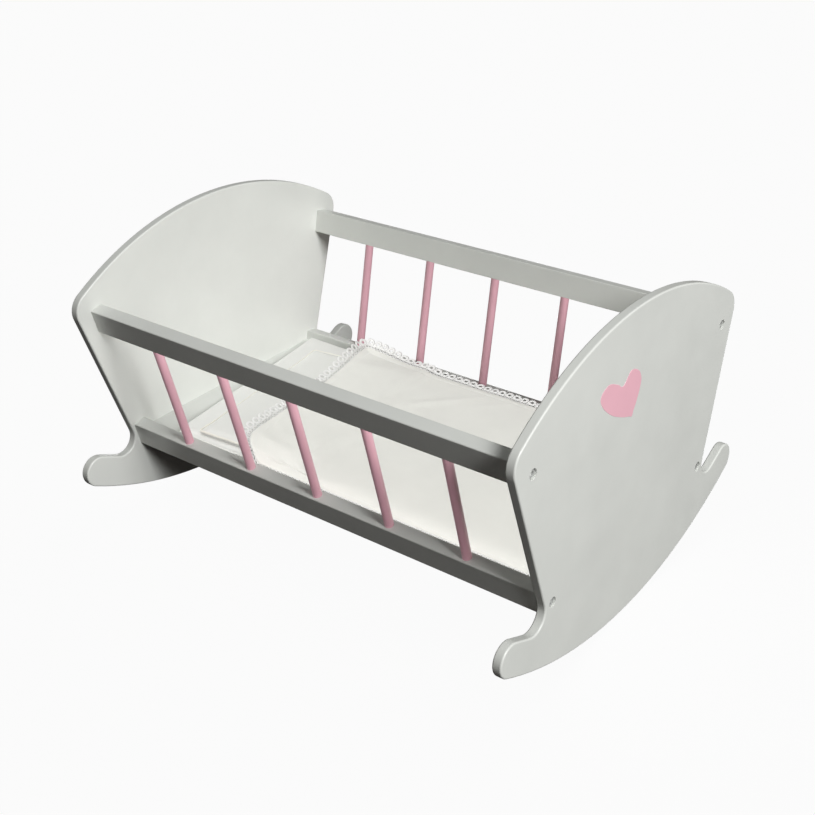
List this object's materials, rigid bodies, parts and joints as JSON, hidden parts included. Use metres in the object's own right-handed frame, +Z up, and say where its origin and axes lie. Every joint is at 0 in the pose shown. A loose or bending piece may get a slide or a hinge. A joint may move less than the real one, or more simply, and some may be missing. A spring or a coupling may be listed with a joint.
{
  "type": "doll's rocking cradle",
  "caption": "Doll's rocking cradle: shaped end panels on curved rockers, outward-leaning slatted sides, base board, loose mattress, pillow and lace-edged duvet.",
  "frame": {"origin": "on the floor under the middle of the bed, at the lowest line of the rockers", "axes": "+X along the bed from the head panel to the foot panel (the one with the heart), +Y across it from the front side to the back side, +Z up"},
  "size_m": [0.5, 0.4, 0.298],
  "materials": {
    "white_paint": "satin white lacquer on board and solid wood, edges eased",
    "board_paint": "satin white lacquer on thin board",
    "pink_paint": "satin pink lacquer on turned dowel",
    "zinc": "bright zinc-plated steel",
    "mattress_cloth": "off-white plain-weave cotton cover",
    "pillow_cloth": "off-white plain-weave cotton with a cream piped seam",
    "duvet_cloth": "smooth off-white cotton, lightly padded",
    "lace": "white cotton crochet edging with round holes"
  },
  "bodies": {
    "cradle_frame": {"head_panel": "white_paint", "foot_panel": "white_paint", "front_top_rail": "white_paint", "front_bottom_rail": "white_paint", "back_top_rail": "white_paint", "back_bottom_rail": "white_paint", "front_spindle_1": "pink_paint", "front_spindle_2": "pink_paint", "front_spindle_3": "pink_paint", "front_spindle_4": "pink_paint", "front_spindle_5": "pink_paint", "back_spindle_1": "pink_paint", "back_spindle_2": "pink_paint", "back_spindle_3": "pink_paint", "back_spindle_4": "pink_paint", "back_spindle_5": "pink_paint", "base_board": "board_paint", "head_panel_screws": "zinc", "foot_panel_screws": "zinc"},
    "mattress_body": {"mattress": "mattress_cloth"},
    "pillow_body": {"pillow": "pillow_cloth"},
    "duvet_body": {"duvet": "duvet_cloth", "lace_edging": "lace"}
  },
  "joints": [
    {"name": "mattress_lift", "type": "slide", "parent": "cradle_frame", "child": "mattress_body", "axis": [0, 0, 1], "range_m": [0, 0.23]},
    {"name": "pillow_lift", "type": "slide", "parent": "mattress_body", "child": "pillow_body", "axis": [0, 0, 1], "range_m": [0, 0.22]},
    {"name": "duvet_lift", "type": "slide", "parent": "pillow_body", "child": "duvet_body", "axis": [0, 0, 1], "range_m": [0, 0.22]}
  ]
}
